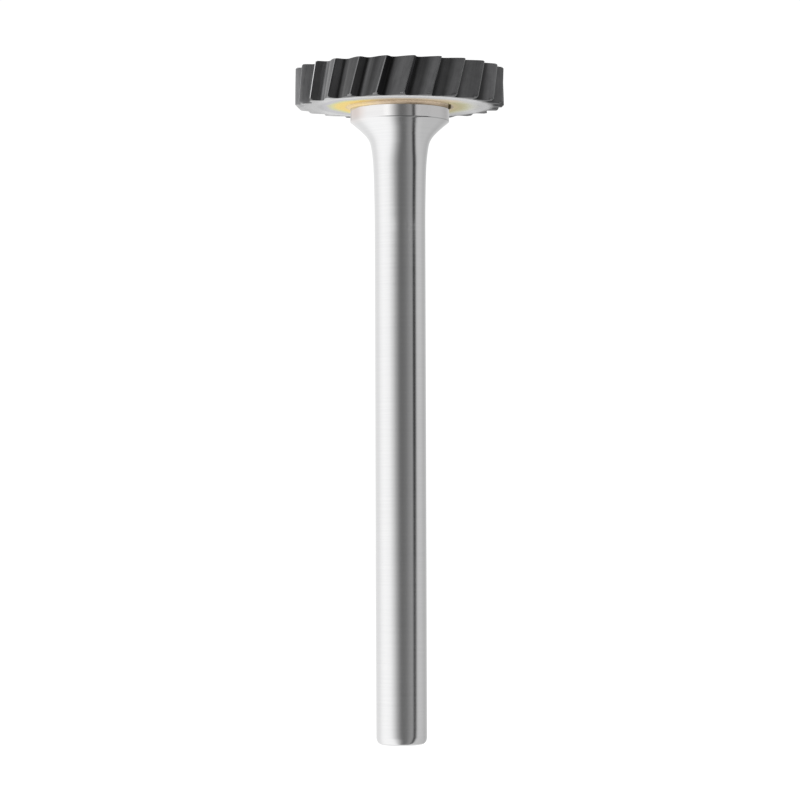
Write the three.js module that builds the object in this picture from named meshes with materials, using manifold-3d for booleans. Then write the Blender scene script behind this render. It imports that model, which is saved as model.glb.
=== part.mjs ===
// Disc-head rotary burr, right-hand cut, for a 3 mm collet.
// A fluted carbide disc is silver-brazed onto the wide flange of a one-piece turned steel shank.
// Millimetres, +Z up along the spin axis, origin at the centre of the shank's free end.
import * as THREE from "three";
import { mergeVertices } from "three/addons/utils/BufferGeometryUtils.js";
import Module from "manifold-3d";

// Overall
const OVERALL_LENGTH = 40.0;
const ROUND_SEGMENTS = 64;

// Carbide disc head
const DISC_DIAMETER = 12.4;
const DISC_THICKNESS = 2.25;
const TEETH = 24;
const HELIX_DEG = 16.0; // right-hand helix, measured from the axis at the tooth tips
const TOOTH_PHASE_DEG = 5.3; // a tooth tip's angle past -Y at mid thickness
const TWIST_STEPS = 4;
const RIM_CHAMFER = 0.1;
const SOCKET_RADIUS = 1.35;
const SOCKET_DEPTH = 1.1;
// One tooth space from a tip to the next tip: share of the pitch, depth below the tip circle
const TOOTH_SPACE = [
  [0.0, 0.0],
  [0.05, 0.29],
  [0.11, 0.55],
  [0.19, 0.66],
  [0.31, 0.66],
  [0.42, 0.565],
  [0.66, 0.3],
  [0.93, 0.035],
];

// Steel shank
const SHANK_RADIUS = 1.5;
const END_CHAMFER_IN = 0.36;
const END_CHAMFER_UP = 0.32;
const FLANGE_RADIUS = 2.93;
const FLANGE_CORNER_Z = 36.87; // lower corner of the flange's short cylinder
const FLANGE_EDGE_BREAK = 0.03;
const SPIGOT_RADIUS = 1.25;
// Neck between the straight shank and the flange: radius, height
const NECK = [
  [1.5, 30.7],
  [1.506, 31.6],
  [1.522, 32.5],
  [1.54, 33.4],
  [1.572, 34.24],
  [1.61, 34.65],
  [1.641, 34.95],
  [1.671, 35.19],
  [1.712, 35.43],
  [1.79, 35.68],
  [1.93, 35.93],
  [2.153, 36.175],
  [2.41, 36.42],
  [2.66, 36.64],
];

// Braze joint
const FACE_FILM = 0.14; // between the flange face and the disc
const END_FILM = 0.12; // over the end of the spigot
const FILLET_OUT = 0.32; // reach of the fillet along the disc's underside
const FILLET_DOWN = 0.04; // reach of the fillet down the flange's side
const FILLET_POINTS = 4;

// Derived heights
const discTop = OVERALL_LENGTH;
const discUnderside = discTop - DISC_THICKNESS;
const flangeFace = discUnderside - FACE_FILM;
const socketEnd = discUnderside + SOCKET_DEPTH;
const spigotEnd = socketEnd - END_FILM;
const tipRadius = DISC_DIAMETER / 2;

const wasm = await Module();
wasm.setup();

// A closed three.js geometry as a manifold solid.
function solid(geometry) {
  const bare = new THREE.BufferGeometry();
  const flat = geometry.index ? geometry.toNonIndexed() : geometry;
  bare.setAttribute("position", flat.getAttribute("position"));
  const merged = mergeVertices(bare, 1e-5);
  const index = [];
  const source = merged.index.array;
  for (let i = 0; i < source.length; i += 3) {
    const [a, b, c] = [source[i], source[i + 1], source[i + 2]];
    if (a !== b && b !== c && a !== c) index.push(a, b, c);
  }
  const made = new wasm.Manifold(
    new wasm.Mesh({
      numProp: 3,
      vertProperties: new Float32Array(merged.attributes.position.array),
      triVerts: new Uint32Array(index),
    }),
  );
  if (made.volume() > 0) return made;
  for (let i = 0; i < index.length; i += 3)
    [index[i + 1], index[i + 2]] = [index[i + 2], index[i + 1]];
  return new wasm.Manifold(
    new wasm.Mesh({
      numProp: 3,
      vertProperties: new Float32Array(merged.attributes.position.array),
      triVerts: new Uint32Array(index),
    }),
  );
}

// A manifold solid as a three.js geometry.
function geometryOf(body) {
  const m = body.getMesh();
  const positions = new Float32Array(m.numVert * 3);
  for (let i = 0; i < m.numVert; i++)
    positions.set(
      m.vertProperties.subarray(i * m.numProp, i * m.numProp + 3),
      i * 3,
    );
  const g = new THREE.BufferGeometry();
  g.setAttribute("position", new THREE.BufferAttribute(positions, 3));
  g.setIndex(new THREE.BufferAttribute(new Uint32Array(m.triVerts), 1));
  g.computeVertexNormals();
  return g;
}

// A solid of revolution about Z from [radius, height] pairs that start and end on the axis.
function turned(profile, segments = ROUND_SEGMENTS) {
  const lathe = new THREE.LatheGeometry(
    profile.map(([r, z]) => new THREE.Vector2(r, z)),
    segments,
  );
  lathe.rotateX(Math.PI / 2);
  return solid(lathe);
}

// The fluted blank: the tooth outline extruded through the disc and twisted into a right-hand helix.
function flutedBlank() {
  const pitch = (2 * Math.PI) / TEETH;
  const outline = [];
  for (let k = 0; k < TEETH; k++)
    for (const [share, depth] of TOOTH_SPACE) {
      const a = (k + share) * pitch;
      const r = tipRadius - depth;
      outline.push(new THREE.Vector2(r * Math.cos(a), r * Math.sin(a)));
    }
  const g = new THREE.ExtrudeGeometry(new THREE.Shape(outline), {
    depth: DISC_THICKNESS,
    steps: TWIST_STEPS,
    bevelEnabled: false,
  });
  const perMm = Math.tan((HELIX_DEG * Math.PI) / 180) / tipRadius;
  const p = g.getAttribute("position");
  for (let i = 0; i < p.count; i++) {
    const up = p.getZ(i);
    const turn =
      (TOOTH_PHASE_DEG * Math.PI) / 180 + (up - DISC_THICKNESS / 2) * perMm;
    const [x, y] = [p.getX(i), p.getY(i)];
    p.setXYZ(
      i,
      x * Math.cos(turn) - y * Math.sin(turn),
      x * Math.sin(turn) + y * Math.cos(turn),
      discUnderside + up,
    );
  }
  return solid(g);
}

// Carbide disc: fluted blank with broken rim edges and a blind socket for the spigot.
function discHead() {
  const over = tipRadius + 0.2;
  const chamferFoot = tipRadius - RIM_CHAMFER;
  const rise = over - chamferFoot;
  const envelope = turned([
    [0, discUnderside - 0.05],
    [chamferFoot - 0.05, discUnderside - 0.05],
    [over, discUnderside + rise],
    [over, discTop - rise],
    [chamferFoot - 0.05, discTop + 0.05],
    [0, discTop + 0.05],
  ], 96);
  const socket = turned([
    [0, discUnderside - 1],
    [SOCKET_RADIUS, discUnderside - 1],
    [SOCKET_RADIUS, socketEnd],
    [0, socketEnd],
  ]);
  return flutedBlank().intersect(envelope).subtract(socket);
}

// Steel shank: straight ground stem, flared neck, short cylindrical flange and centring spigot.
function shank() {
  const profile = [
    [0, 0],
    [SHANK_RADIUS - END_CHAMFER_IN, 0],
    [SHANK_RADIUS - END_CHAMFER_IN * 0.33, END_CHAMFER_UP * 0.34],
    [SHANK_RADIUS, END_CHAMFER_UP],
    ...NECK,
    [FLANGE_RADIUS - FLANGE_EDGE_BREAK, FLANGE_CORNER_Z - FLANGE_EDGE_BREAK],
    [FLANGE_RADIUS, FLANGE_CORNER_Z + FLANGE_EDGE_BREAK],
    [FLANGE_RADIUS, flangeFace],
    [SPIGOT_RADIUS, flangeFace],
    [SPIGOT_RADIUS, spigotEnd],
    [0, spigotEnd],
  ];
  return turned(profile);
}

// Braze: one continuous run of silver solder, over the spigot's end, down its side,
// across the flange face and out into a concave fillet round the flange.
function brazeJoint() {
  const fillet = [];
  for (let i = 1; i < FILLET_POINTS; i++) {
    const t = (i / FILLET_POINTS) * (Math.PI / 2);
    fillet.push([
      FLANGE_RADIUS + FILLET_OUT * (1 - Math.cos(t)),
      discUnderside - FILLET_DOWN - FACE_FILM +
        (FILLET_DOWN + FACE_FILM) * Math.sin(t),
    ]);
  }
  return turned([
    [0, spigotEnd],
    [SPIGOT_RADIUS, spigotEnd],
    [SPIGOT_RADIUS, flangeFace],
    [FLANGE_RADIUS, flangeFace],
    [FLANGE_RADIUS, flangeFace - FILLET_DOWN],
    ...fillet,
    [FLANGE_RADIUS + FILLET_OUT, discUnderside],
    [SOCKET_RADIUS, discUnderside],
    [SOCKET_RADIUS, socketEnd],
    [0, socketEnd],
  ]);
}

function part(name, body, colour, roughness, metalness) {
  const mesh = new THREE.Mesh(
    geometryOf(body),
    new THREE.MeshStandardMaterial({ color: colour, roughness, metalness }),
  );
  mesh.name = name;
  return mesh;
}

const burr = new THREE.Group();
burr.add(part("carbide_disc_head", discHead(), 0x4c4c4e, 0.35, 1.0));
burr.add(part("braze_joint", brazeJoint(), 0xc9a66b, 0.35, 1.0));
burr.add(part("steel_shank", shank(), 0xc4c5c8, 0.15, 1.0));

export default burr;
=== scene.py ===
import math

import bpy
import numpy as np
from mathutils import Matrix, Vector


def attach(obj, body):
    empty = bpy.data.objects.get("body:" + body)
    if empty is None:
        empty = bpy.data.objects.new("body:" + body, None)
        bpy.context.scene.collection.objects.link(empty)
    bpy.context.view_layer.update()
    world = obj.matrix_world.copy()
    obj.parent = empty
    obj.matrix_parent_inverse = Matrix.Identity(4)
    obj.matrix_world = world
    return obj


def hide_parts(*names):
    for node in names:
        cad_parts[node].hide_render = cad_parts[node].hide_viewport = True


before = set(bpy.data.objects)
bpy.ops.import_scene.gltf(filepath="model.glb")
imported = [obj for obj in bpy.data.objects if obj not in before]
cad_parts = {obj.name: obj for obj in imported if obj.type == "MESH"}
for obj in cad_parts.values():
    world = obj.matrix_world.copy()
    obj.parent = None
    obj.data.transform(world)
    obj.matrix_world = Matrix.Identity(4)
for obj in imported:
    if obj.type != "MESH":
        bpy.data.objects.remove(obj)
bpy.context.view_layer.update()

MM = 0.001

# Dimensions shared with the CAD model, in millimetres
TOP_Z = 40.0
UNDER_Z = 37.75
TIP_R = 6.2
TEETH = 24
HELIX_DEG = 16.0
PHASE_DEG = 5.3
SOCKET_R = 1.35
SOCKET_Z = 38.85
FLANGE_FACE_Z = 37.61
FLANGE_R = 2.93
CORNER_Z = 36.87
SPIGOT_R = 1.25
SPIGOT_Z = 38.73
SHANK_R = 1.5

# ------------------------------------------------------------------ helpers


def srgb(v):
    """An 8-bit display value as linear light."""
    v = v / 255.0
    return v / 12.92 if v <= 0.04045 else ((v + 0.055) / 1.055) ** 2.4


def rgb(r, g, b):
    return (srgb(r), srgb(g), srgb(b), 1.0)


def pchip(xs, ys, xq):
    """Monotone cubic interpolation."""
    x, y = np.asarray(xs, float), np.asarray(ys, float)
    h = np.diff(x)
    d = np.diff(y) / h
    m = np.zeros_like(y)
    for i in range(1, len(x) - 1):
        if d[i - 1] * d[i] > 0:
            w1, w2 = 2 * h[i] + h[i - 1], h[i] + 2 * h[i - 1]
            m[i] = (w1 + w2) / (w1 / d[i - 1] + w2 / d[i])
    m[0], m[-1] = d[0], d[-1]
    xq = np.asarray(xq, float)
    k = np.clip(np.searchsorted(x, xq) - 1, 0, len(h) - 1)
    t = (xq - x[k]) / h[k]
    return (
        (2 * t**3 - 3 * t**2 + 1) * y[k]
        + (t**3 - 2 * t**2 + t) * h[k] * m[k]
        + (-2 * t**3 + 3 * t**2) * y[k + 1]
        + (t**3 - t**2) * h[k] * m[k + 1]
    )


def new_object(name, verts, faces, face_zone=None, corner_vec=None, corner_shade_and_tone=None, sharp_deg=30):
    """A mesh object from points in millimetres, with its zone and flute attributes."""
    mesh = bpy.data.meshes.new(name)
    mesh.from_pydata([tuple(np.asarray(v) * MM) for v in verts], [], faces)
    mesh.validate()
    mesh.update()
    for p in mesh.polygons:
        p.use_smooth = True
    mesh.set_sharp_from_angle(angle=math.radians(sharp_deg))
    if face_zone is not None:
        a = mesh.attributes.new("zone", "FLOAT", "FACE")
        a.data.foreach_set("value", np.asarray(face_zone, np.float32))
    if corner_vec is not None:
        a = mesh.attributes.new("flute", "FLOAT_VECTOR", "CORNER")
        a.data.foreach_set("vector", np.asarray(corner_vec, np.float32).ravel())
    # per-corner painted shade and glints of the flutes, with their random tone
    if corner_shade_and_tone is not None:
        a = mesh.attributes.new("painted_shade_and_tone", "FLOAT", "CORNER")
        a.data.foreach_set("value", np.asarray(corner_shade_and_tone, np.float32))
    ob = bpy.data.objects.new(name, mesh)
    bpy.context.scene.collection.objects.link(ob)
    return ob


def lathe(name, profile, segments, wave=None, sharp_deg=30):
    """A closed solid of revolution from (radius, height) pairs that start and end on the axis."""
    verts, faces, rings = [], [], []
    for j, (r, z) in enumerate(profile):
        if r < 1e-9:
            rings.append([len(verts)])
            verts.append((0.0, 0.0, z))
            continue
        ring = []
        for i in range(segments):
            a = 2 * math.pi * i / segments
            rr, zz = (r, z) if wave is None else wave(j, a, r, z)
            ring.append(len(verts))
            verts.append((rr * math.cos(a), rr * math.sin(a), zz))
        rings.append(ring)
    for a, b in zip(rings, rings[1:]):
        for i in range(segments):
            k = (i + 1) % segments
            if len(a) == 1:
                faces.append((a[0], b[k], b[i]))
            elif len(b) == 1:
                faces.append((a[i], a[k], b[0]))
            else:
                faces.append((a[i], a[k], b[k], b[i]))
    return new_object(name, verts, faces, sharp_deg=sharp_deg)


# ------------------------------------------------------------------ node helpers


class Nodes:
    """A short hand for building a node tree."""

    def __init__(self, tree):
        self.t = tree

    def n(self, kind, **props):
        node = self.t.nodes.new(kind)
        for k, v in props.items():
            setattr(node, k, v)
        return node

    def put(self, socket, value):
        if isinstance(value, bpy.types.NodeSocket):
            self.t.links.new(value, socket)
        elif value is not None:
            socket.default_value = value

    def math(self, op, a, b=None, c=None, clamp=False):
        m = self.n("ShaderNodeMath", operation=op, use_clamp=clamp)
        for s, v in zip(m.inputs, (a, b, c)):
            self.put(s, v)
        return m.outputs[0]

    def vmath(self, op, a, b=None, scale=None):
        m = self.n("ShaderNodeVectorMath", operation=op)
        self.put(m.inputs[0], a)
        if b is not None:
            self.put(m.inputs[1], b)
        if scale is not None:
            self.put(m.inputs["Scale"], scale)
        return m.outputs["Value" if op in ("LENGTH", "DOT_PRODUCT") else "Vector"]

    def step(self, value, lo, hi, a=0.0, b=1.0, smooth=True):
        m = self.n(
            "ShaderNodeMapRange",
            interpolation_type="SMOOTHSTEP" if smooth else "LINEAR",
            clamp=True,
        )
        self.put(m.inputs["Value"], value)
        for k, v in zip(("From Min", "From Max", "To Min", "To Max"), (lo, hi, a, b)):
            self.put(m.inputs[k], v)
        return m.outputs["Result"]

    def ramp(self, value, stops, mode="LINEAR"):
        r = self.n("ShaderNodeValToRGB")
        r.color_ramp.interpolation = mode
        e = r.color_ramp.elements
        while len(e) > 1:
            e.remove(e[-1])
        for i, (p, c) in enumerate(stops):
            if not isinstance(c, (tuple, list)):
                c = (c, c, c, 1.0)
            if i == 0:
                e[0].position, e[0].color = p, c
            else:
                e.new(p).color = c
        self.put(r.inputs["Fac"], value)
        return r.outputs["Color"]

    def mix(self, fac, a, b, kind="MIX"):
        m = self.n("ShaderNodeMix", data_type="RGBA", blend_type=kind)
        self.put(m.inputs["Factor"], fac)
        self.put(m.inputs[6], a)
        self.put(m.inputs[7], b)
        return m.outputs[2]

    def lerp(self, fac, a, b):
        m = self.n("ShaderNodeMix", data_type="FLOAT")
        self.put(m.inputs["Factor"], fac)
        self.put(m.inputs[2], a)
        self.put(m.inputs[3], b)
        return m.outputs[0]

    def sep(self, v):
        s = self.n("ShaderNodeSeparateXYZ")
        self.put(s.inputs[0], v)
        return s.outputs

    def comb(self, x, y, z):
        s = self.n("ShaderNodeCombineXYZ")
        for k, v in zip(s.inputs, (x, y, z)):
            self.put(k, v)
        return s.outputs[0]

    def noise(self, v, scale, detail=3.0, rough=0.5, distortion=0.0):
        m = self.n("ShaderNodeTexNoise")
        self.put(m.inputs["Vector"], v)
        m.inputs["Scale"].default_value = scale
        m.inputs["Detail"].default_value = detail
        m.inputs["Roughness"].default_value = rough
        m.inputs["Distortion"].default_value = distortion
        return m.outputs["Fac"]


def material(name):
    m = bpy.data.materials.new(name)
    m.use_nodes = True
    t = m.node_tree
    t.nodes.clear()
    k = Nodes(t)
    out = k.n("ShaderNodeOutputMaterial")
    b = k.n("ShaderNodeBsdfPrincipled")
    t.links.new(b.outputs[0], out.inputs["Surface"])
    return m, k, b


def position_mm(k):
    """Object position in millimetres."""
    tc = k.n("ShaderNodeTexCoord")
    return k.vmath("SCALE", tc.outputs["Object"], scale=1000.0)


def bump(k, b, height, distance_mm, strength=1.0, normal=None):
    m = k.n("ShaderNodeBump")
    m.inputs["Strength"].default_value = strength
    m.inputs["Distance"].default_value = distance_mm * MM
    k.put(m.inputs["Height"], height)
    if normal is not None:
        k.put(m.inputs["Normal"], normal)
    k.put(b.inputs["Normal"], m.outputs[0])
    return m.outputs[0]


# ------------------------------------------------------------------ materials


def carbide_material():
    """Sintered and ground tungsten carbide: dark fluted teeth, brighter ground lands and faces,
    and a straw heat tint round the joint."""
    m, k, b = material("carbide")
    p = position_mm(k)
    x, y, z = k.sep(p)
    r = k.math("SQRT", k.math("ADD", k.math("MULTIPLY", x, x), k.math("MULTIPLY", y, y)))
    zone = k.n("ShaderNodeAttribute", attribute_name="zone").outputs["Fac"]
    flute = k.n("ShaderNodeAttribute", attribute_name="flute").outputs["Vector"]
    fx, fy, fz = k.sep(flute)
    painted_shade_and_tone = k.n("ShaderNodeAttribute", attribute_name="painted_shade_and_tone").outputs["Fac"]
    is_land = k.math("COMPARE", zone, 1.0, 0.3)
    is_under = k.math("COMPARE", zone, 2.0, 0.3)
    is_top = k.math("COMPARE", zone, 3.0, 0.3)
    is_chamfer = k.math("COMPARE", zone, 4.0, 0.3)
    is_face = k.math("MAXIMUM", is_under, is_top)

    # fine grinding lines that run along each flute
    streak = k.noise(
        k.comb(k.math("MULTIPLY", fx, 46.0), k.math("MULTIPLY", fy, 1.6), fz), 1.0, 4.0, 0.6
    )
    broad = k.noise(
        k.comb(k.math("MULTIPLY", fx, 7.0), k.math("MULTIPLY", fy, 0.8), fz), 1.0, 2.0, 0.5
    )
    grain = k.noise(p, 55.0, 2.0, 0.6)
    mottle = k.noise(p, 2.2, 3.0, 0.55)

    flute_col = k.mix(
        k.step(k.math("ADD", k.math("MULTIPLY", streak, 0.6), k.math("MULTIPLY", broad, 0.4)), 0.3, 0.7),
        (0.092, 0.092, 0.094, 1),
        (0.138, 0.138, 0.141, 1),
    )
    flute_col = k.mix(k.step(mottle, 0.35, 0.7, 0.0, 0.35), flute_col, (0.150, 0.150, 0.152, 1))
    # painted shade: the rake and the start of the root reflect less at a glancing angle
    rake_glance_shade = k.mix(k.step(fx, 0.5, 1.15), (0.34, 0.34, 0.345, 1), (0.9, 0.9, 0.9, 1))
    # painted shade and glints from the tooth profile and from each flute, with a random tone
    flute_col = k.mix(1.0, flute_col, painted_shade_and_tone, "MULTIPLY")
    land_col = k.mix(k.step(grain, 0.3, 0.7), (0.17, 0.17, 0.173, 1), (0.27, 0.27, 0.274, 1))
    # the lands carry painted highlights on a few teeth as well as a random tone
    land_col = k.mix(1.0, land_col, painted_shade_and_tone, "MULTIPLY")

    # lapped faces: faint concentric rings and a cross-hatch of lapping scratches
    rings = k.noise(k.comb(k.math("MULTIPLY", r, 26.0), 0.0, 0.0), 1.0, 3.0, 0.6)
    hatch = k.noise(
        k.comb(
            k.math("MULTIPLY", k.math("ADD", x, k.math("MULTIPLY", y, 0.35)), 16.0),
            k.math("MULTIPLY", k.math("SUBTRACT", y, k.math("MULTIPLY", x, 0.35)), 1.2),
            0.0,
        ),
        1.0,
        3.0,
        0.55,
    )
    face_tex = k.math("ADD", k.math("MULTIPLY", rings, 0.55), k.math("MULTIPLY", hatch, 0.45))
    face_col = k.mix(k.step(face_tex, 0.3, 0.7), (0.43, 0.43, 0.434, 1), (0.53, 0.53, 0.535, 1))
    swirl = k.noise(k.comb(k.math("MULTIPLY", k.math("ADD", r, k.math("MULTIPLY", k.noise(p, 0.7, 2.0, 0.5), 0.8)), 9.0), 0.0, 4.0), 1.0, 4.0, 0.7)
    lapped = k.math("ADD", k.math("MULTIPLY", swirl, 0.55), k.math("MULTIPLY", hatch, 0.45))
    top_col = k.mix(k.step(lapped, 0.34, 0.66), (0.36, 0.36, 0.364, 1), (0.60, 0.60, 0.604, 1))
    top_col = k.mix(k.step(k.math("ADD", r, k.math("MULTIPLY", mottle, 1.6)), 2.2, 4.4, 0.30, 0.0), top_col, (0.56, 0.50, 0.40, 1))
    face_col = k.mix(is_top, face_col, top_col)
    # the underside is lighter in a ring by the foot of the teeth, and painted shade darkens the ends of the teeth
    # except on the far left
    rough_r = k.math("ADD", r, k.math("MULTIPLY", k.math("SUBTRACT", hatch, 0.5), 0.5))
    rim = k.math("MULTIPLY", is_under, k.step(rough_r, 4.6, 5.0, 0.0, 0.6))
    face_col = k.mix(rim, face_col, (0.70, 0.70, 0.705, 1))
    tooth_end_shade = k.math("MULTIPLY", is_under, k.math("MULTIPLY", k.step(rough_r, 5.2, 5.7, 0.0, 0.9), k.step(x, -4.4, -3.0, 0.1, 1.0)))
    face_col = k.mix(tooth_end_shade, face_col, (0.16, 0.16, 0.162, 1))

    # heat tint on the underside, from straw beside the joint through a faint green and lavender
    # to clean metal, and stronger on the side that the torch was on
    wob = k.math("MULTIPLY", k.math("SUBTRACT", k.noise(p, 0.9, 3.0, 0.6), 0.5), 0.55)
    wob2 = k.math("MULTIPLY", k.math("SUBTRACT", k.noise(p, 4.0, 3.0, 0.6), 0.5), 0.14)
    rt = k.math("ADD", r, k.math("ADD", wob, wob2))
    left = k.step(x, -3.3, -2.3, 1.0, 0.0)
    rt = k.math("ADD", rt, k.lerp(left, k.step(y, -4.2, -3.0, 0.3, 0.0), k.step(y, -3.0, 0.5, -0.1, 0.22)))
    at = k.math("DIVIDE", k.math("SUBTRACT", rt, 2.8), 2.5)
    hot = k.ramp(
        at,
        [
            (0.0, (0.72, 0.54, 0.32, 1)),
            (0.12, (0.80, 0.60, 0.32, 1)),
            (0.24, (0.88, 0.66, 0.28, 1)),
            (0.44, (0.86, 0.66, 0.27, 1)),
            (0.57, (0.62, 0.61, 0.39, 1)),
            (0.70, (0.50, 0.495, 0.52, 1)),
            (0.84, (0.485, 0.485, 0.49, 1)),
        ],
    )
    cool = k.ramp(
        at,
        [
            (0.0, (0.44, 0.37, 0.27, 1)),
            (0.15, (0.44, 0.38, 0.26, 1)),
            (0.34, (0.42, 0.39, 0.25, 1)),
            (0.50, (0.46, 0.455, 0.35, 1)),
            (0.64, (0.49, 0.49, 0.47, 1)),
            (0.84, (0.485, 0.485, 0.49, 1)),
        ],
    )
    front = k.step(k.math("ADD", y, k.math("MULTIPLY", wob, 1.2)), -3.1, -1.5, 0.8, 0.0)
    cool = k.mix(k.math("MULTIPLY", front, k.step(rt, 4.3, 4.7, 1.0, 0.0)), cool, (0.60, 0.50, 0.39, 1))
    side = k.step(k.math("ADD", x, k.math("MULTIPLY", wob, 1.5)), -2.9, -0.6, 1.0, 0.0)
    tint = k.mix(side, cool, hot)
    tint_amount = k.math("MULTIPLY", is_under, k.step(rt, 4.5, 5.1, 1.0, 0.0))
    # what those colours look like at a glancing angle
    edge_hot = k.ramp(
        at,
        [
            (0.0, (0.98, 0.86, 0.66, 1)),
            (0.12, (1.0, 0.90, 0.68, 1)),
            (0.26, (1.0, 0.91, 0.55, 1)),
            (0.44, (1.0, 0.94, 0.58, 1)),
            (0.57, (0.95, 0.98, 0.76, 1)),
            (0.70, (0.95, 0.94, 0.98, 1)),
            (0.84, (0.95, 0.95, 0.95, 1)),
        ],
    )
    edge_cool = k.ramp(
        at,
        [
            (0.0, (0.92, 0.82, 0.66, 1)),
            (0.15, (0.88, 0.79, 0.62, 1)),
            (0.34, (0.83, 0.79, 0.60, 1)),
            (0.50, (0.90, 0.89, 0.74, 1)),
            (0.64, (0.97, 0.965, 0.92, 1)),
            (0.84, (0.95, 0.95, 0.95, 1)),
        ],
    )
    edge_cool = k.mix(k.math("MULTIPLY", front, k.step(rt, 4.3, 4.7, 1.0, 0.0)), edge_cool, (0.96, 0.87, 0.75, 1))
    edge = k.mix(side, edge_cool, edge_hot)

    col = k.mix(is_land, flute_col, land_col)
    col = k.mix(is_chamfer, col, k.mix(k.step(grain, 0.3, 0.7), (0.17, 0.17, 0.172, 1), (0.30, 0.30, 0.303, 1)))
    # painted highlight on the lower edges of the teeth on the left
    low_edge_highlight = k.math("MULTIPLY", k.step(z, UNDER_Z + 0.09, UNDER_Z + 0.17, 1.0, 0.0), k.math("MULTIPLY", k.step(x, -2.6, -1.2, 0.85, 0.0), k.step(y, -2.2, -1.2)))
    col = k.mix(low_edge_highlight, col, (0.5, 0.5, 0.503, 1))
    col = k.mix(is_face, col, face_col)
    col = k.mix(tint_amount, col, tint)
    # painted shade on the underside towards both sides and at the far right, dimming its colour and its reflection
    side_shade = k.step(k.math("ABSOLUTE", x), 4.2, 5.0, 0.0, 0.13)
    far_shade = k.math("MULTIPLY", k.step(y, 1.5, 4.5), k.step(x, 1.0, 3.0, 0.0, 0.20))
    painted_shade_dim = k.math("SUBTRACT", 1.0, k.math("MULTIPLY", is_under, k.math("MAXIMUM", side_shade, far_shade)))
    col = k.mix(1.0, col, painted_shade_dim, "MULTIPLY")
    k.put(b.inputs["Base Color"], col)
    b.inputs["Metallic"].default_value = 1.0
    rough_flute = k.step(streak, 0.25, 0.75, 0.30, 0.44)
    rough_land = 0.26
    rough_face = k.step(face_tex, 0.3, 0.7, 0.24, 0.36)
    rough = k.lerp(is_face, k.lerp(is_land, rough_flute, rough_land), rough_face)
    k.put(b.inputs["Roughness"], rough)
    # glancing colour: painted shade on the rakes, the tooth ends and the right of the underside, a painted highlight on
    # the lower edges on the left, and the heat-tint colours
    glancing = k.mix(is_under, k.mix(low_edge_highlight, k.mix(is_chamfer, k.mix(k.math("MAXIMUM", is_face, is_land), rake_glance_shade, (1, 1, 1, 1)), (0.4, 0.4, 0.4, 1)), (0.9, 0.9, 0.9, 1)), k.mix(tint_amount, k.mix(tooth_end_shade, k.mix(rim, (0.95, 0.95, 0.95, 1), k.mix(k.step(x, 1.5, 3.5), (1, 1, 1, 1), (0.86, 0.86, 0.86, 1))), (0.40, 0.40, 0.404, 1)), edge))
    k.put(b.inputs["Specular Tint"], k.mix(1.0, glancing, painted_shade_dim, "MULTIPLY"))
    h = k.lerp(is_face, k.lerp(is_land, streak, grain), face_tex)
    bump(k, b, h, 0.004, 0.55)
    return m


def braze_material():
    """As-brazed silver solder: pale gold, wrinkled, with painted shade in dark brown along its foot and towards its
    right-hand end.
    """
    m, k, b = material("silver_braze")
    p = position_mm(k)
    x, y, z = k.sep(p)
    n1 = k.noise(p, 3.2, 4.0, 0.6)
    n2 = k.noise(p, 14.0, 3.0, 0.6)
    low = k.step(z, 37.585, 37.64, 1.0, 0.0)
    side = k.step(k.math("ADD", x, k.math("MULTIPLY", n1, 0.8)), -2.2, -0.4, 1.0, 0.0)
    tan = k.mix(k.step(n1, 0.35, 0.7), (0.66, 0.53, 0.39, 1), (0.80, 0.66, 0.50, 1))
    gold = k.mix(k.step(n1, 0.35, 0.7), (0.78, 0.61, 0.31, 1), (0.87, 0.70, 0.40, 1))
    col = k.mix(side, tan, gold)
    # painted shade towards the right-hand end
    right_end_shade = k.math("MULTIPLY", k.step(x, 2.1, 2.95), k.step(n2, 0.3, 0.6, 0.55, 0.9))
    col = k.mix(right_end_shade, col, (0.30, 0.24, 0.15, 1))
    # painted shade along the foot by the flange, stronger to the right
    foot_shade = k.math("MULTIPLY", low, k.step(x, -2.0, 2.6, 0.35, 0.8, smooth=False))
    col = k.mix(k.math("MULTIPLY", foot_shade, k.step(n2, 0.3, 0.6, 0.7, 1.0)), col, (0.20, 0.145, 0.09, 1))
    # painted shade in the corner at the right-hand end, in both colour and reflection
    corner_shade = k.math("MULTIPLY", k.step(x, 2.84, 2.90), k.step(x, 3.0, 3.07, 1.0, 0.0))
    corner_shade = k.math("MULTIPLY", corner_shade, k.step(y, 0.3, 0.7, 0.95, 0.0))
    col = k.mix(corner_shade, col, (0.12, 0.10, 0.065, 1))
    k.put(b.inputs["Specular Tint"], k.mix(corner_shade, (1, 1, 1, 1), (0.22, 0.2, 0.15, 1)))
    k.put(b.inputs["Base Color"], col)
    b.inputs["Metallic"].default_value = 1.0
    k.put(b.inputs["Roughness"], k.step(n1, 0.3, 0.7, 0.42, 0.58))
    bump(k, b, k.math("ADD", n1, k.math("MULTIPLY", n2, 0.4)), 0.02, 0.6)
    return m


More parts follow.
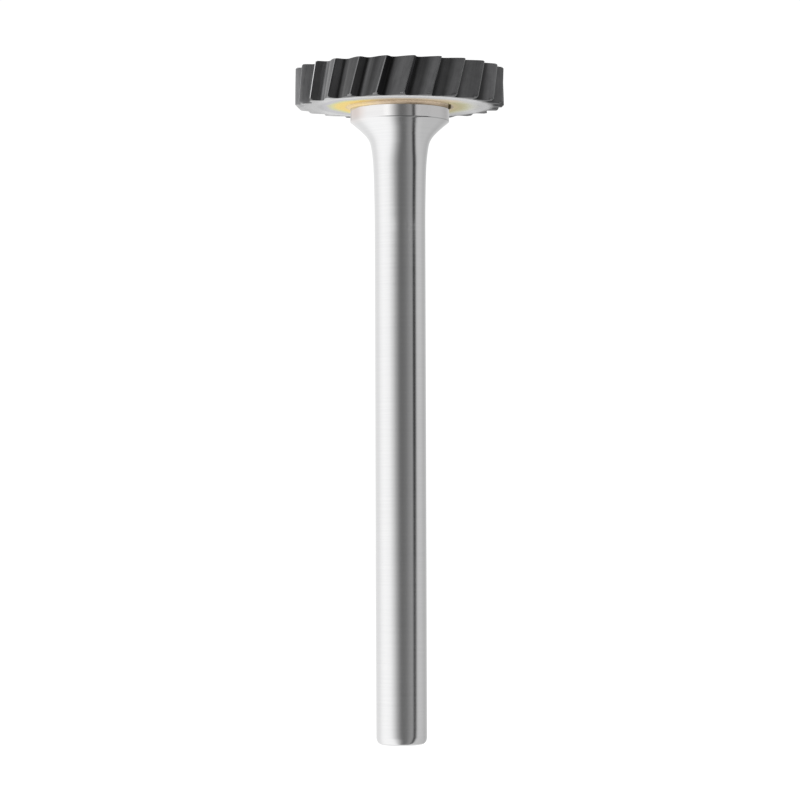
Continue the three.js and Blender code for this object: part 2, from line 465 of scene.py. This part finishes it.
def steel_material():
    """Centreless-ground and polished steel, with faint grinding rings, a light pinkish tint on the left by the joint
    and a painted shade line at the flange's corner.
    """
    m, k, b = material("shank_steel")
    p = position_mm(k)
    x, y, z = k.sep(p)
    rings = k.noise(k.comb(k.math("MULTIPLY", x, 0.25), k.math("MULTIPLY", y, 0.25), k.math("MULTIPLY", z, 14.0)), 1.0, 4.0, 0.65)
    broad = k.noise(k.comb(k.math("MULTIPLY", x, 0.5), k.math("MULTIPLY", y, 0.5), k.math("MULTIPLY", z, 0.35)), 1.0, 2.0, 0.5)
    col = k.mix(k.step(rings, 0.3, 0.7), (0.68, 0.68, 0.685, 1), (0.705, 0.705, 0.708, 1))
    # a pinkish tint on the left of the flange and flare
    warm = k.math("MULTIPLY", k.step(z, 36.5, 37.3), k.step(k.math("ADD", x, k.math("MULTIPLY", broad, 0.6)), -2.35, -1.5, 0.75, 0.08))
    col = k.mix(warm, col, (0.72, 0.61, 0.56, 1))
    # painted shade: a fine grey line along the turned corner of the flange, faint on the left and darker on the right
    crease_shade = k.math("MULTIPLY", k.step(z, 36.83, 36.87), k.step(z, 36.885, 36.925, 1.0, 0.0))
    crease_shade = k.math("MULTIPLY", crease_shade, k.step(k.math("ADD", x, k.math("MULTIPLY", broad, 0.6)), -1.5, 1.5, 0.06, 0.85))
    col = k.mix(crease_shade, col, (0.40, 0.40, 0.402, 1))
    # where solder has wetted a little way down the flange's side
    drop = k.math("ADD", k.step(x, -1.9, -1.2, 0.075, 0.0), k.step(x, -2.9, -2.35, 0.11, 0.0))
    down = k.math("ADD", z, k.math("ADD", drop, k.math("MULTIPLY", k.math("SUBTRACT", k.noise(p, 3.0, 3.0, 0.6), 0.5), 0.05)))
    wash = k.step(down, FLANGE_FACE_Z - 0.01, FLANGE_FACE_Z + 0.05)
    col = k.mix(k.math("MULTIPLY", wash, 0.95), col, k.mix(k.step(x, -2.8, -2.2), (0.68, 0.56, 0.33, 1), (0.52, 0.43, 0.27, 1)))
    k.put(b.inputs["Base Color"], col)
    b.inputs["Metallic"].default_value = 1.0
    worn = k.step(z, 8.0, 20.0, 0.068, 0.0)
    k.put(b.inputs["Roughness"], k.math("ADD", worn, k.math("ADD", k.step(rings, 0.3, 0.7, 0.065, 0.09), k.step(broad, 0.35, 0.7, 0.0, 0.02))))
    bump(k, b, rings, 0.0006, 0.25)
    return m


MAT_CARBIDE = carbide_material()
MAT_BRAZE = braze_material()
MAT_STEEL = steel_material()

# ------------------------------------------------------------------ disc head

LOW_CHAMFER = 0.13
TOP_CHAMFER = 0.07
# painted shade along each flute from one tip round to the next: bright by the tip, darkest in the root where shade
# falls, and lighter again up the back
PAINTED_SHADE_S = [0.0, 0.10, 0.14, 0.24, 0.34, 0.46, 0.60, 0.80, 0.95, 1.0]
PAINTED_SHADE_V = [0.90, 0.80, 0.24, 0.18, 0.26, 0.50, 0.68, 0.66, 0.72, 0.72]


def bezier(p0, p1, p2, p3, ts):
    p0, p1, p2, p3 = (np.array(p, float) for p in (p0, p1, p2, p3))
    return [tuple((1 - t) ** 3 * p0 + 3 * (1 - t) ** 2 * t * p1 + 3 * (1 - t) * t**2 * p2 + t**3 * p3) for t in ts]


def tooth_profile():
    """One tooth space from a tip round to the next: (share of the pitch, depth in mm, zone)."""
    pts = [(0.0, 0.0), (0.004, 0.012)]
    for t in (0.25, 0.5, 0.75):
        pts.append((0.004 + t * 0.101, 0.012 + t * 0.488))
    pts += bezier((0.105, 0.50), (0.14, 0.675), (0.27, 0.745), (0.44, 0.535), np.linspace(0, 1, 13))
    for t in (0.2, 0.4, 0.6, 0.8):
        pts.append((0.44 + t * 0.512, 0.535 - t * 0.531))
    pts += [(0.952, 0.004), (0.958, 0.0)]
    return pts


def disc_head():
    prof = tooth_profile()
    n = len(prof)
    ring_n = n * TEETH
    pitch = 2 * math.pi / TEETH
    twist = math.tan(math.radians(HELIX_DEG)) / TIP_R
    mid = (TOP_Z + UNDER_Z) / 2
    ch = [0.0, 0.25, 0.5, 0.75, 1.0]
    zs = [UNDER_Z + LOW_CHAMFER * t for t in ch]
    zs += list(np.linspace(UNDER_Z + LOW_CHAMFER, TOP_Z - TOP_CHAMFER, 16)[1:-1])
    zs += [TOP_Z - TOP_CHAMFER * t for t in reversed(ch)]
    arc = [0.0]
    for (s0, d0), (s1, d1) in zip(prof, prof[1:] + [(1.0, 0.0)]):
        arc.append(arc[-1] + math.hypot((s1 - s0) * pitch * (TIP_R - (d0 + d1) / 2), d1 - d0))
    verts, clipped = [], []
    for z in zs:
        env = TIP_R - max(0.0, LOW_CHAMFER - (z - UNDER_Z), TOP_CHAMFER - (TOP_Z - z))
        rot = math.radians(PHASE_DEG) + (z - mid) * twist
        for t in range(TEETH):
            for s, d in prof:
                a = (t + s) * pitch + rot
                r = TIP_R - d
                clipped.append(r > env + 1e-9)
                r = min(r, env)
                verts.append((r * math.cos(a), r * math.sin(a), z))
    faces, zone, vec, painted_shade_and_tone = [], [], [], []
    shares = [q[0] for q in prof] + [1.0]
    # per flute: painted shade and highlights on teeth 12 to 21 and a random tone on the rest, giving how bright its
    # rake, root and back are, and where the back starts
    rng = np.random.default_rng(11)
    tooth_shade_and_tone = np.column_stack([rng.uniform(0.3, 1.2, TEETH), rng.uniform(0.8, 1.8, TEETH), rng.uniform(0.88, 1.1, TEETH), rng.uniform(0.0, 0.16, TEETH)])
    tooth_shade_and_tone[12:22] = [
        (2.4, 2.3, 1.2, 0.0),
        (2.7, 2.6, 1.2, 0.0),
        (1.1, 2.6, 1.35, -0.40),
        (0.85, 3.2, 0.84, 0.15),
        (0.36, 3.6, 0.86, 0.28),
        (0.26, 1.6, 1.0, 0.04),
        (0.5, 1.5, 1.3, 0.29),
        (0.55, 2.2, 1.5, 0.30),
        (0.7, 2.2, 1.35, 0.0),
        (0.5, 1.7, 1.7, 0.22),
    ]
    # how bright each land is: a random tone, with a painted highlight on the land of tooth 13
    land_glint_and_tone = rng.uniform(0.8, 1.25, TEETH)
    land_glint_and_tone[12:24] = (1.0, 3.4, 1.0, 0.7, 0.9, 0.8, 0.9, 0.9, 0.75, 0.8, 0.8, 0.9)
    for j in range(len(zs) - 1):
        in_chamfer = zs[j + 1] <= UNDER_Z + LOW_CHAMFER + 1e-9 or zs[j] >= TOP_Z - TOP_CHAMFER - 1e-9
        for t in range(TEETH):
            for i in range(n):
                a = j * ring_n + t * n + i
                b = j * ring_n + (t * n + i + 1) % ring_n
                c, d = b + ring_n, a + ring_n
                faces.append((a, b, c, d))
                cut = in_chamfer and sum(clipped[v] for v in (a, b, c, d)) >= 2
                land = i == n - 1
                low = zs[j] < mid
                zone.append(4.0 if cut and low else (1.0 if cut or land else 0.0))
                for v, e in ((a, i), (b, i + 1), (c, i + 1), (d, i)):
                    vec.append((arc[e], verts[v][2], t * 3.7))
                    share = shares[e]
                    if land:
                        painted_shade_and_tone.append(float(land_glint_and_tone[t]))
                        continue
                    own = float(np.interp(share, (0.0, 0.12, 0.3, 0.6, 1.0), tooth_shade_and_tone[t, [0, 0, 1, 2, 2]]))
                    back = share - tooth_shade_and_tone[t, 3] * float(np.interp(share, (0.2, 0.5, 0.8, 1.0), (0, 1, 0.7, 0)))
                    # painted highlights: on the back of tooth 13 next to the following tip, and on the rake and root of
                    # tooth 14
                    painted_glint = 1.0
                    if t == 13:
                        painted_glint = float(np.interp(share, (0.74, 0.86, 1.0), (1.0, 4.2, 4.4)))
                    if t == 14:
                        painted_glint = float(np.interp(share, (0.08, 0.12, 0.15, 0.20, 0.26, 0.34), (1.0, 2.0, 4.0, 4.0, 1.6, 0.95)))
                    painted_shade_and_tone.append(own * painted_glint * float(np.interp(back, PAINTED_SHADE_S, PAINTED_SHADE_V)))

    def cap(start, z, radii, up, code, close):
        """Rings inward from a tooth outline on a flat end."""
        prev = list(range(start, start + ring_n))
        angles = [math.atan2(verts[v][1], verts[v][0]) for v in prev]
        for r in radii:
            ring = []
            for a in angles:
                ring.append(len(verts))
                verts.append((r * math.cos(a), r * math.sin(a), z))
            for i in range(ring_n):
                q = (prev[i], prev[(i + 1) % ring_n], ring[(i + 1) % ring_n], ring[i])
                faces.append(q if up else q[::-1])
                zone.append(code)
                vec.extend([(0, 0, 0)] * 4)
                painted_shade_and_tone.extend([1.0] * 4)
            prev = ring
        if close:
            c = len(verts)
            verts.append((0.0, 0.0, z))
            for i in range(ring_n):
                q = (prev[i], prev[(i + 1) % ring_n], c)
                faces.append(q if up else q[::-1])
                zone.append(code)
                vec.extend([(0, 0, 0)] * 3)
                painted_shade_and_tone.extend([1.0] * 3)
        return prev

    cap((len(zs) - 1) * ring_n, TOP_Z, (5.2, 4.0, 2.6, 1.2), True, 3.0, True)
    rim = cap(0, UNDER_Z, (5.2, 4.2, 3.3, 2.4, SOCKET_R), False, 2.0, False)
    # the blind socket, whose wall faces the axis
    top = []
    for v in rim:
        top.append(len(verts))
        verts.append((verts[v][0], verts[v][1], SOCKET_Z))
    for i in range(ring_n):
        k = (i + 1) % ring_n
        faces.append((rim[k], rim[i], top[i], top[k])[::-1])
        zone.append(0.0)
        vec.extend([(0, 0, 0)] * 4)
        painted_shade_and_tone.extend([1.0] * 4)
    c = len(verts)
    verts.append((0.0, 0.0, SOCKET_Z))
    for i in range(ring_n):
        k = (i + 1) % ring_n
        faces.append((top[i], top[k], c)[::-1])
        zone.append(0.0)
        vec.extend([(0, 0, 0)] * 3)
        painted_shade_and_tone.extend([1.0] * 3)
    ob = new_object("cutting_disc", verts, faces, zone, vec, painted_shade_and_tone, sharp_deg=24)
    ob.data.materials.append(MAT_CARBIDE)
    ob.visible_glossy = False
    return ob


disc = disc_head()
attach(disc, "root")
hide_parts("carbide_disc_head")

# ------------------------------------------------------------------ steel shank


def shank():
    neck_r = [1.5, 1.5, 1.506, 1.52, 1.54, 1.573, 1.607, 1.64, 1.674, 1.69, 1.712, 1.745, 1.79, 1.855, 1.935, 2.035, 2.153, 2.283, 2.413, 2.53, 2.648, 2.770, 2.895]
    neck_z = [29.5, 30.7, 31.6, 32.5, 33.4, 34.24, 34.65, 34.95, 35.19, 35.29, 35.41, 35.55, 35.68, 35.80, 35.93, 36.05, 36.175, 36.30, 36.42, 36.52, 36.62, 36.72, 36.82]
    prof = [(0.0, 0.0), (0.55, 0.0), (1.06, 0.0)]
    # rounded edge of the free end
    prof += [(1.10, 0.003), (1.14, 0.008), (1.18, 0.016), (1.225, 0.030), (1.27, 0.049), (1.315, 0.073), (1.355, 0.102), (1.39, 0.136), (1.42, 0.175), (1.445, 0.218), (1.466, 0.265), (1.482, 0.315), (1.492, 0.365), (1.498, 0.42), (1.5, 0.48)]
    for z in np.linspace(1.0, 29.0, 36):
        prof.append((1.5, float(z)))
    # the neck, sampled evenly along its own length
    zq = np.linspace(neck_z[0], neck_z[-1], 4000)
    rq = pchip(neck_z, neck_r, zq)
    # a light smoothing of the measured profile
    kern = np.hanning(161)
    kern /= kern.sum()
    pad = np.concatenate([np.full(80, rq[0]), rq, rq[-1] + (rq[-1] - rq[-2]) * np.arange(1, 81)])
    rq = np.convolve(pad, kern, "valid")
    length = np.concatenate([[0], np.cumsum(np.hypot(np.diff(zq), np.diff(rq)))])
    for s in np.linspace(0, length[-1], 92):
        prof.append((float(np.interp(s, length, rq)), float(np.interp(s, length, zq))))
    # edge of the flange, a little rounded where it meets the flare
    prof += [
        (2.922, 36.8425),
        (2.9285, 36.8535),
        (2.93, 36.868),
        (2.93, 36.92),
    ]
    for z in np.linspace(37.05, 37.57, 5):
        prof.append((2.929, float(z)))
    prof += [(2.929, 37.592), (2.912, FLANGE_FACE_Z), (2.4, FLANGE_FACE_Z), (SPIGOT_R, FLANGE_FACE_Z), (SPIGOT_R, 38.0), (SPIGOT_R, 38.60), (1.19, 38.70), (1.1, SPIGOT_Z), (0.0, SPIGOT_Z)]
    ob = lathe("ground_shank", prof, 288, sharp_deg=32)
    ob.data.materials.append(MAT_STEEL)
    ob.visible_glossy = False
    return ob


steel = shank()
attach(steel, "root")
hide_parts("steel_shank")

# ------------------------------------------------------------------ braze joint


def braze():
    rng = np.random.default_rng(7)
    phases = rng.uniform(0, 2 * math.pi, 9)
    amps = np.array([1.0, 0.7, 0.9, 0.5, 0.6, 0.45, 0.4, 0.3, 0.25])

    def drift(a, shift=0.0):
        return float(sum(w * math.sin((i + 2) * a + p + shift * (i + 1)) for i, (w, p) in enumerate(zip(amps, phases))) / 2.6)

    prof = [(0.0, SPIGOT_Z), (1.1, SPIGOT_Z), (1.19, 38.70), (SPIGOT_R, 38.60), (SPIGOT_R, 38.0), (SPIGOT_R, FLANGE_FACE_Z), (2.4, FLANGE_FACE_Z), (2.91, FLANGE_FACE_Z)]
    first = len(prof)
    toe = [(2.929, 37.588), (2.934, 37.574)]
    steps = 12
    fillet = []
    for i in range(steps + 1):
        t = i / steps * math.pi / 2
        fillet.append((2.94 + 0.30 * (1 - math.cos(t)) ** 0.9, 37.58 + (UNDER_Z - 37.58) * math.sin(t) ** 0.8))
    prof += toe + fillet
    last = len(prof)
    prof += [(2.6, UNDER_Z), (2.0, UNDER_Z), (SOCKET_R, UNDER_Z), (SOCKET_R, 38.3), (SOCKET_R, SOCKET_Z), (0.7, SOCKET_Z), (0.0, SOCKET_Z)]

    def wave(j, a, r, z):
        if j < first + 2 or j >= last:
            return r, z
        t = (j - first - 2) / steps
        r2 = r + 0.045 * drift(a) * t**1.5 + 0.012 * drift(a, 1.3) * math.sin(math.pi * t)
        z2 = z + (0.012 * drift(a, 2.1)) * (1 - t)
        return r2, min(z2, UNDER_Z)

    ob = lathe("braze_fillet", prof, 360, wave, sharp_deg=40)
    ob.data.materials.append(MAT_BRAZE)
    return ob


solder = braze()
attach(solder, "root")
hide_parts("braze_joint")

# ------------------------------------------------------------------ camera

F_PX, CAM_D, CAM_PITCH, AIM_Z, AIM_X_PX, ROLL = 3379.8, 200.0, 2.17, 20.349, 0.611, 0.18
cam_data = bpy.data.cameras.new("camera")
cam_data.sensor_width = 36.0
cam_data.lens = F_PX / 800.0 * 36.0
cam_data.clip_start, cam_data.clip_end = 0.01, 10.0
cam = bpy.data.objects.new("camera", cam_data)
bpy.context.scene.collection.objects.link(cam)
pb, ro = math.radians(CAM_PITCH), math.radians(ROLL)
view_dir = Vector((0, math.cos(pb), math.sin(pb)))
up0 = Vector((0, -math.sin(pb), math.cos(pb)))
right0 = Vector((1, 0, 0))
up = up0 * math.cos(ro) + right0 * math.sin(ro)
right = right0 * math.cos(ro) - up0 * math.sin(ro)
rot = Matrix((right, up, -view_dir)).transposed().to_4x4()
aim = Vector((0, 0, AIM_Z)) - right * (AIM_X_PX / (F_PX / CAM_D))
cam.matrix_world = Matrix.Translation((aim - view_dir * CAM_D) * MM) @ rot
bpy.context.scene.camera = cam

# ------------------------------------------------------------------ studio

floor_mesh = bpy.data.meshes.new("floor")
floor_mesh.from_pydata([(-3, -3, 0), (3, -3, 0), (3, 3, 0), (-3, 3, 0)], [], [(0, 1, 2, 3)])
floor = bpy.data.objects.new("floor", floor_mesh)
floor.location.z = -0.012
bpy.context.scene.collection.objects.link(floor)
floor.visible_glossy = False
fm = bpy.data.materials.new("floor_paper")
fm.use_nodes = True
fm.node_tree.nodes.clear()
k = Nodes(fm.node_tree)
fo = k.n("ShaderNodeOutputMaterial")
fd = k.n("ShaderNodeBsdfDiffuse")
fd.inputs["Color"].default_value = (0.93, 0.93, 0.93, 1)
ft = k.n("ShaderNodeBsdfTransparent")
fg = k.n("ShaderNodeNewGeometry")
fmix = k.n("ShaderNodeMixShader")
k.put(fmix.inputs[0], fg.outputs["Backfacing"])
k.put(fmix.inputs[1], fd.outputs[0])
k.put(fmix.inputs[2], ft.outputs[0])
k.put(fo.inputs["Surface"], fmix.outputs[0])
floor.data.materials.append(fm)


def softbox(name, loc, size, energy):
    light = bpy.data.lights.new(name, "AREA")
    light.shape = "RECTANGLE"
    light.size, light.size_y = size
    light.energy = energy
    ob = bpy.data.objects.new(name, light)
    ob.location = loc
    ob.rotation_mode = "QUATERNION"
    ob.rotation_quaternion = (Vector((0, 0, 0.02)) - Vector(loc)).to_track_quat("-Z", "Y")
    ob.visible_glossy = False
    bpy.context.scene.collection.objects.link(ob)
    return ob


softbox("soft_left", (-0.45, -0.25, 0.40), (0.5, 0.5), 1.6)
softbox("soft_right", (0.50, -0.15, 0.35), (0.4, 0.5), 0.8)


# the studio's light from left to right, as display brightness
BAND = [
    (-50, 244), (-16, 244), (-12.9, 240), (-10.9, 233), (-8.9, 215), (-6.9, 194), (-4.9, 164), (-2.9, 138), (-1.4, 116),
    (0.1, 104), (2.1, 102), (4.1, 107), (5.6, 112), (7.1, 123), (9.1, 134), (11.2, 142), (12.2, 118), (12.9, 62),
    (14.2, 62), (15.1, 116), (16.2, 180), (18.1, 190), (20.1, 187), (22, 183), (30, 181), (42, 180), (46, 176), (50, 172),
]
SIDES = [(-1, 0.74), (-0.9, 0.77), (-0.84, 0.82), (-0.79, 0.91), (-0.72, 0.97), (-0.65, 1), (0.8, 1), (0.87, 0.92), (0.92, 0.86), (0.96, 0.95), (1, 1)]
CEILING = [
    (-1, 0.5), (-0.94, 0.95), (-0.85, 1.15), (-0.7, 1.32), (-0.5, 1.38), (-0.3, 1.2), (-0.1, 1.2), (0.05, 1.05),
    (0.18, 0.95), (0.26, 0.95), (0.30, 0.5), (0.34, 0.5), (0.38, 1.1), (0.6, 1.2), (0.85, 1.1), (0.95, 0.8), (1, 0.5),
]
# how widely it is spread for surfaces that lean down by each amount
WIDTHS = [
    (0, 25.2), (0.06, 25.6), (0.09, 26.9), (0.147, 28.4), (0.222, 29.1), (0.412, 30.3), (0.541, 32.2), (0.667, 34.9),
    (0.711, 38.1), (0.745, 41.8), (0.761, 45.7), (0.768, 47.8), (0.78, 48.5),
]


def studio_world():
    """A wrap-round studio: a broad soft light on the left, the dark camera side, a dimmer soft light on
    the right with the dark edge of a card before it, and pale walls behind and below."""
    w = bpy.data.worlds.new("studio")
    bpy.context.scene.world = w
    w.use_nodes = True
    t = w.node_tree
    t.nodes.clear()
    k = Nodes(t)
    out = k.n("ShaderNodeOutputWorld")
    tc = k.n("ShaderNodeTexCoord")
    ray = k.vmath("NORMALIZE", tc.outputs["Generated"])
    e0 = math.radians(4.0)
    h = k.vmath("NORMALIZE", k.vmath("SUBTRACT", ray, (0.0, math.cos(e0), math.sin(e0))))
    hx, hy, hz = k.sep(h)
    apart = k.vmath("LENGTH", k.vmath("SUBTRACT", ray, (0.0, math.cos(e0), math.sin(e0))))
    flat = k.math("SQRT", k.math("ADD", k.math("MULTIPLY", hx, hx), k.math("MULTIPLY", hy, hy)))
    across = k.math("DIVIDE", hx, k.math("MAXIMUM", flat, 0.02))
    tilt = k.math("MULTIPLY", hz, -1.0)
    wide = k.math("MULTIPLY", k.sep(k.ramp(tilt, [(t, v / 50.0) for t, v in WIDTHS]))[0], 50.0)
    rise = k.sep(ray)[2]
    wide = k.lerp(k.math("MULTIPLY", k.step(rise, 0.095, 0.112), k.step(rise, 0.15, 0.2, 1.0, 0.0)), wide, 49.3)
    d = k.math("MULTIPLY", across, wide)
    steel = 0.69
    on_flange = k.math("MULTIPLY", k.step(rise, 0.095, 0.112), k.step(rise, 0.15, 0.2, 1.0, 0.0))
    slide = k.math("MULTIPLY", k.sep(k.ramp(tilt, [(0.0, 0.0), (0.055, 0.0), (0.075, 0.14), (0.10, 0.36), (0.14, 0.58), (0.24, 0.90), (0.72, 0.92), (0.8, 0.0)]))[0], 2.4)
    slide = k.lerp(on_flange, slide, 0.8)
    d = k.math("SUBTRACT", d, k.math("MULTIPLY", slide, k.step(d, 3.0, 8.0, 1.0, 0.0)))

    def s(v):
        return srgb(v) / steel

    prof = k.ramp(k.math("DIVIDE", k.math("ADD", d, 50.0), 100.0), [((p + 50) / 100, s(v)) for p, v in BAND])
    sides = k.ramp(k.math("DIVIDE", k.math("ADD", across, 1.0), 2.0), [((p + 1) / 2, v) for p, v in SIDES])
    prof = k.mix(1.0, prof, sides, "MULTIPLY")
    band = k.ramp(k.math("DIVIDE", k.math("ADD", d, 50.0), 100.0), [(0.0, 0.92), (0.32, 0.95), (0.37, 1.12), (0.42, 1.04), (0.46, 1.0), (1.0, 1.0)])
    prof = k.mix(on_flange, prof, k.mix(1.0, prof, band, "MULTIPLY"))
    # surfaces that lean a little upwards, such as the backs of the teeth, see a plainer part of the ceiling
    ceiling = k.ramp(k.math("DIVIDE", k.math("ADD", across, 1.0), 2.0), [((p + 1) / 2, v) for p, v in CEILING])
    lean = k.math("MULTIPLY", k.step(tilt, -0.10, -0.14), k.step(tilt, -0.24, -0.32, 1.0, 0.0))
    light = k.mix(lean, prof, ceiling)
    # straight up and straight down
    pole = k.math("ABSOLUTE", tilt)
    light = k.mix(k.step(pole, 0.80, 0.89), light, (1.02, 1.02, 1.02, 1))
    # straight behind the object the two sides run into each other
    light = k.mix(k.step(apart, 0.04, 0.34, 1.0, 0.0), light, (0.82, 0.82, 0.82, 1))
    bg_gloss = k.n("ShaderNodeBackground")
    k.put(bg_gloss.inputs["Color"], light)
    bg_cam = k.n("ShaderNodeBackground")
    bg_cam.inputs["Color"].default_value = (1, 1, 1, 1)
    bg_cam.inputs["Strength"].default_value = 1.05
    bg_diff = k.n("ShaderNodeBackground")
    bg_diff.inputs["Color"].default_value = (1, 1, 1, 1)
    bg_diff.inputs["Strength"].default_value = 1.1
    lp = k.n("ShaderNodeLightPath")
    m1, m2 = k.n("ShaderNodeMixShader"), k.n("ShaderNodeMixShader")
    k.put(m1.inputs[0], lp.outputs["Is Glossy Ray"])
    k.put(m1.inputs[1], bg_diff.outputs[0])
    k.put(m1.inputs[2], bg_gloss.outputs[0])
    k.put(m2.inputs[0], lp.outputs["Is Camera Ray"])
    k.put(m2.inputs[1], m1.outputs[0])
    k.put(m2.inputs[2], bg_cam.outputs[0])
    k.put(out.inputs["Surface"], m2.outputs[0])
    w.cycles.sampling_method = "NONE"


studio_world()

sc = bpy.context.scene
sc.view_settings.view_transform = "Standard"
sc.view_settings.look = "None"
sc.view_settings.exposure = 0.0
sc.view_settings.gamma = 1.0
